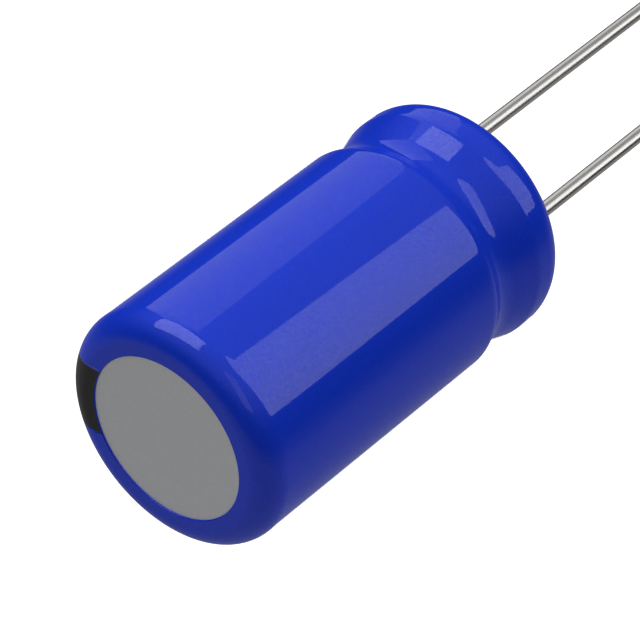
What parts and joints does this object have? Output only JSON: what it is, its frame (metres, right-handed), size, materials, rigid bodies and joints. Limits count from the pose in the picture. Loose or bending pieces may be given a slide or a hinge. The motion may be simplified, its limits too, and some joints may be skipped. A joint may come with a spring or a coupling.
{
  "type": "radial aluminium electrolytic capacitor",
  "caption": "Radial aluminium electrolytic capacitor: blue sleeved can with a beaded base, a plain grey head, a dark polarity stripe and straight tinned leads.",
  "frame": {"origin": "middle of the seating plane, between the two leads", "axes": "+Z along the can towards its closed head, with the leads along -Z; +X towards the cathode lead and the polarity stripe"},
  "size_m": [0.01, 0.01, 0.038],
  "materials": {
    "sleeve_film": "glossy blue heat-shrink film with a fine grain",
    "stripe_ink": "dark grey printing ink",
    "can_aluminium": "drawn aluminium, satin grey",
    "bung_rubber": "moulded black rubber",
    "tinned_wire": "bright tinned wire with fine drawing lines",
    "tab_aluminium": "pressed aluminium",
    "anode_foil_aluminium": "etched and oxidised aluminium foil, dull grey",
    "cathode_foil_aluminium": "etched aluminium foil, dull silver",
    "separator_paper": "tan absorbent paper wet with electrolyte",
    "winding_tape_film": "brown adhesive film"
  },
  "bodies": {
    "root": {"sleeve": "sleeve_film", "polarity_stripe": "stripe_ink", "can": "can_aluminium", "bung": "bung_rubber", "anode_lead": "tinned_wire", "cathode_lead": "tinned_wire", "anode_tab": "tab_aluminium", "cathode_tab": "tab_aluminium", "anode_foil": "anode_foil_aluminium", "cathode_foil": "cathode_foil_aluminium", "inner_separator": "separator_paper", "outer_separator": "separator_paper", "winding_tape": "winding_tape_film"}
  },
  "joints": []
}
